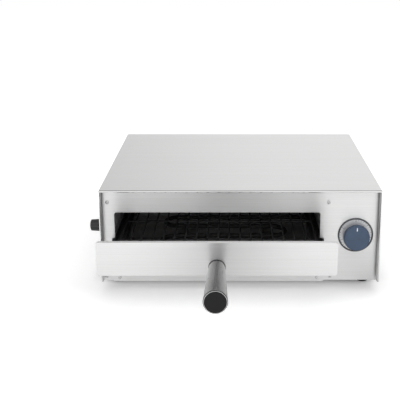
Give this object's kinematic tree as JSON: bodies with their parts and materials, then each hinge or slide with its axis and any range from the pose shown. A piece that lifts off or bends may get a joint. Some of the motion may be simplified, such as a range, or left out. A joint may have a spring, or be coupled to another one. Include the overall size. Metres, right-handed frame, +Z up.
{
  "type": "pizza oven",
  "caption": "Low countertop pizza oven in brushed steel: a wire rack behind a drawer front slides out by a round handle, with a crumb tray, a timer knob and a heat selector.",
  "frame": {"origin": "middle of the oven's whole footprint, drawer pulled out as in the picture, on the table", "axes": "+X to the right seen from the front, +Y from the front to the back, +Z up"},
  "size_m": [0.508, 0.678, 0.185],
  "materials": {
    "case_steel": "brushed stainless steel, grain across the oven",
    "rear_steel": "plain steel sheet, dull",
    "chamber_steel": "aluminised steel, darkened by heat",
    "zinc_steel": "zinc plated",
    "tray_steel": "plain steel sheet",
    "runner_steel": "satin stainless steel",
    "rack_chrome": "bright chrome plated wire",
    "element_sheath": "dark oxidised steel sheath",
    "fastener_steel": "plain steel",
    "element_ceramic": "unglazed white ceramic",
    "terminal_brass": "plain brass",
    "grip_plastic": "black moulded phenolic, glossy",
    "washer_plastic": "black, matt",
    "dial_metal": "silver with printed marks",
    "bezel_plastic": "black",
    "knob_plastic": "dark slate blue",
    "pointer_white": "white",
    "control_plastic": "black moulded plastic",
    "selector_plastic": "black, glossy",
    "block_plastic": "ivory moulded plastic",
    "wire_sleeve": "woven glass sleeving, off-white",
    "gland_plastic": "black nylon",
    "foot_rubber": "black rubber"
  },
  "bodies": {
    "oven_body": {"outer_cover": "case_steel", "front_panel": "case_steel", "rear_panel": "rear_steel", "base_plate": "rear_steel", "chamber_left_wall": "chamber_steel", "chamber_right_wall": "chamber_steel", "chamber_roof": "chamber_steel", "chamber_rear_wall": "chamber_steel", "left_rail": "zinc_steel", "right_rail": "zinc_steel", "lower_element_bars": "zinc_steel", "upper_element_bars": "zinc_steel", "timer_nut": "zinc_steel", "selector_nut": "zinc_steel", "lower_element": "element_sheath", "upper_element": "element_sheath", "rail_rivets": "fastener_steel", "front_panel_screws": "fastener_steel", "cover_screws": "fastener_steel", "rear_panel_screws": "fastener_steel", "foot_screws": "fastener_steel", "element_bushes": "element_ceramic", "element_terminals": "terminal_brass", "timer_dial": "dial_metal", "timer_bezel": "bezel_plastic", "timer_body": "control_plastic", "selector_switch": "control_plastic", "thermostat": "control_plastic", "terminal_block": "block_plastic", "wiring": "wire_sleeve", "cable_gland": "gland_plastic", "gland_nut": "gland_plastic", "foot_front_left": "foot_rubber", "foot_front_right": "foot_rubber", "foot_rear_left": "foot_rubber", "foot_rear_right": "foot_rubber"},
    "drawer": {"drawer_front": "case_steel", "left_runner": "runner_steel", "right_runner": "runner_steel", "rack": "rack_chrome", "handle_grip": "grip_plastic", "handle_cap": "grip_plastic", "handle_washer": "washer_plastic", "handle_bolt": "zinc_steel"},
    "crumb_tray": {"crumb_tray": "tray_steel", "crumb_tray_lip": "case_steel", "crumb_tray_rivets": "fastener_steel"},
    "timer_control": {"timer_knob": "knob_plastic", "timer_pointer": "pointer_white", "timer_shaft": "zinc_steel"},
    "selector_control": {"selector_knob": "selector_plastic", "selector_shaft": "zinc_steel"}
  },
  "joints": [
    {"name": "drawer_slide", "type": "slide", "parent": "oven_body", "child": "drawer", "axis": [0, -1, 0], "range_m": [-0.1125, 0.13]},
    {"name": "crumb_tray_slide", "type": "slide", "parent": "oven_body", "child": "crumb_tray", "axis": [0, -1, 0], "range_m": [0, 0.3]},
    {"name": "timer_turn", "type": "hinge", "parent": "oven_body", "child": "timer_control", "pos_m": [0.2108, -0.091, 0.1], "axis": [0, 1, 0], "range_deg": [0, 300]},
    {"name": "selector_turn", "type": "hinge", "parent": "oven_body", "child": "selector_control", "pos_m": [-0.2392, -0.053, 0.1084], "axis": [1, 0, 0], "range_deg": [0, 270]}
  ]
}
